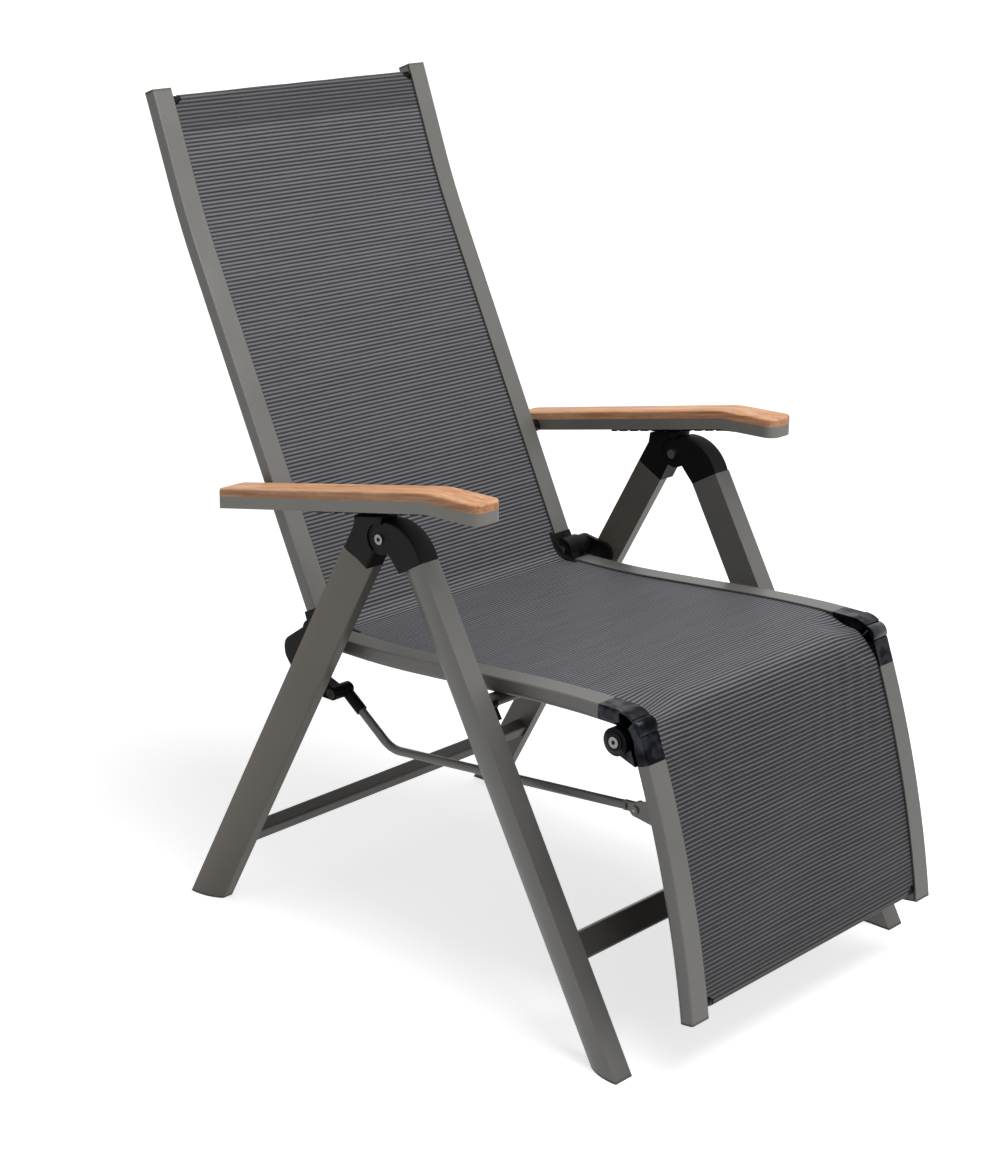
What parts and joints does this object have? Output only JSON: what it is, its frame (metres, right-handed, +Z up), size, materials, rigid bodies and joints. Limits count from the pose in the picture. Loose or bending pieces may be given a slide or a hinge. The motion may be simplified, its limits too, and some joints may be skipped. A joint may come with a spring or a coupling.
{
  "type": "reclining garden armchair",
  "caption": "Folding garden armchair with a high reclining cloth back, a linked footrest, wooden armrests and crossed metal legs.",
  "frame": {"origin": "on the floor, at the middle of the chair's length and width in its upright pose", "axes": "+Z up, the sitter faces -Y, +X is the sitter's left"},
  "size_m": [0.62, 0.958, 1.0929],
  "materials": {
    "frame_metal": "powder-coated, taupe, satin with a fine grain",
    "stretcher_metal": "powder-coated, dark taupe, satin",
    "black_plastic": "moulded, fine matte grain",
    "knee_plastic": "moulded, glossy",
    "steel": "zinc plated",
    "cloth": "open weave of coated threads, dark and light ribs",
    "wood": "oiled teak"
  },
  "bodies": {
    "rear_legs": {"rear_leg_left": "frame_metal", "rear_leg_right": "frame_metal", "rear_foot_caps": "black_plastic", "rear_leg_head_left": "black_plastic", "rear_leg_head_right": "black_plastic", "rear_stretcher": "stretcher_metal", "leg_hinge_brackets": "black_plastic", "leg_pivot_bolts": "steel"},
    "front_legs": {"front_leg_left": "frame_metal", "front_leg_right": "frame_metal", "front_foot_caps": "black_plastic", "front_leg_head_left": "black_plastic", "front_leg_head_right": "black_plastic", "front_stretcher": "stretcher_metal", "seat_rest_hooks": "black_plastic"},
    "seat": {"seat_rail_left": "frame_metal", "seat_rail_right": "frame_metal", "seat_hinge_fitting_left": "black_plastic", "seat_hinge_fitting_right": "black_plastic", "knee_upper_bracket_left": "knee_plastic", "knee_upper_bracket_right": "knee_plastic", "seat_cross_tube": "stretcher_metal", "sling_seat": "cloth", "seat_back_hinge_pins": "steel", "knee_pins": "steel"},
    "back": {"back_rail_left": "frame_metal", "back_rail_right": "frame_metal", "back_hinge_bracket_left": "black_plastic", "back_hinge_bracket_right": "black_plastic", "back_top_bar": "stretcher_metal", "back_lower_bar": "stretcher_metal", "back_end_caps": "black_plastic", "sling_back": "cloth", "lever_pins": "steel", "armrest_bolt_left": "steel", "armrest_bush_left": "black_plastic", "armrest_bolt_right": "steel", "armrest_bush_right": "black_plastic"},
    "footrest": {"footrest_rail_left": "frame_metal", "footrest_rail_right": "frame_metal", "knee_lower_bracket_left": "knee_plastic", "knee_lower_bracket_right": "knee_plastic", "footrest_bar": "stretcher_metal", "footrest_lugs": "frame_metal", "link_rivets": "steel", "footrest_end_caps": "black_plastic", "sling_footrest": "cloth"},
    "link_rods": {"link_rod_left": "frame_metal", "link_rod_right": "frame_metal", "link_sockets": "black_plastic"},
    "armrest_left": {"armrest_base_left": "frame_metal", "armrest_top_left": "wood", "armrest_rack_left": "black_plastic"},
    "armrest_right": {"armrest_base_right": "frame_metal", "armrest_top_right": "wood", "armrest_rack_right": "black_plastic"}
  },
  "joints": [
    {"name": "leg_fold", "type": "hinge", "parent": "rear_legs", "child": "front_legs", "pos_m": [0, -0.00748, 0.594], "axis": [-1, 0, 0], "range_deg": [-58.2, 0]},
    {"name": "seat_fold", "type": "hinge", "parent": "rear_legs", "child": "seat", "pos_m": [0, 0.14952, 0.43], "axis": [-1, 0, 0], "range_deg": [0, 58]},
    {"name": "recline", "type": "hinge", "parent": "seat", "child": "back", "pos_m": [0, 0.14952, 0.43], "axis": [-1, 0, 0], "range_deg": [0, 35]},
    {"name": "footrest_rise", "type": "hinge", "parent": "seat", "child": "footrest", "pos_m": [0, -0.35348, 0.412], "axis": [-1, 0, 0], "range_deg": [0, 35]},
    {"name": "link_swing", "type": "hinge", "parent": "back", "child": "link_rods", "pos_m": [0, 0.13352, 0.342], "axis": [-1, 0, 0], "range_deg": [-35, 0]},
    {"name": "arm_follow_left", "type": "hinge", "parent": "back", "child": "armrest_left", "pos_m": [0.257, 0.24366, 0.59034], "axis": [-1, 0, 0], "range_deg": [-21.71, 0]},
    {"name": "arm_follow_right", "type": "hinge", "parent": "back", "child": "armrest_right", "pos_m": [-0.257, 0.24366, 0.59034], "axis": [-1, 0, 0], "range_deg": [-21.71, 0]}
  ],
  "couplings": [
    {"joint": "seat_fold", "follows": "leg_fold", "ratio": -0.9965},
    {"joint": "footrest_rise", "follows": "recline", "ratio": 1},
    {"joint": "link_swing", "follows": "recline", "ratio": -1},
    {"joint": "arm_follow_left", "follows": "recline", "ratio": -0.62},
    {"joint": "arm_follow_right", "follows": "recline", "ratio": -0.62}
  ]
}
